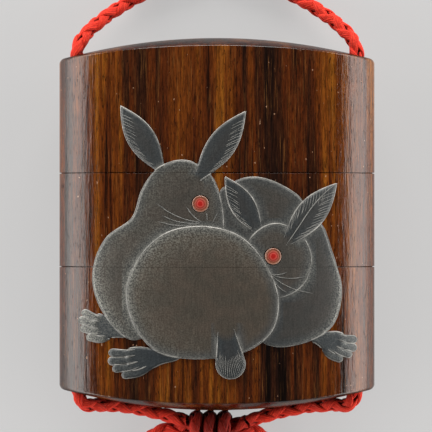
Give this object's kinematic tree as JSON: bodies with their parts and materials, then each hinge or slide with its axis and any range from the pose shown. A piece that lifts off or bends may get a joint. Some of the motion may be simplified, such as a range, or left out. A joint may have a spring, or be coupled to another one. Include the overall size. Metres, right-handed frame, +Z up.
{
  "type": "inro case",
  "caption": "Flattened oval stacking seal case, laid on its back, with a lift-off lid, two hollow trays, low-relief rabbits on the front and a silk cord through its sides.",
  "frame": {"origin": "under the middle of the case, on the surface that its back lies on", "axes": "+X across the front, +Y along the case from the bottom tray to the lid, +Z up, out of the decorated front"},
  "size_m": [0.066, 0.17, 0.0238],
  "materials": {
    "wood": "polished dark rosewood with dark and orange-brown streaks along the case",
    "lacquer": "raised silver-grey lacquer, satin, with pale engraved rims and hairs",
    "inlay": "polished red inlaid eyes with amber rings",
    "silk": "bright red braided silk cord"
  },
  "bodies": {
    "root": {"lid": "wood", "middle_tray": "wood", "bottom_tray": "wood", "lid_relief": "lacquer", "middle_tray_relief": "lacquer", "bottom_tray_relief": "lacquer", "back_rabbit_eye": "inlay", "right_rabbit_eye": "inlay", "cord_strap": "silk", "cord_tie": "silk", "cord_bow": "silk"}
  },
  "joints": []
}
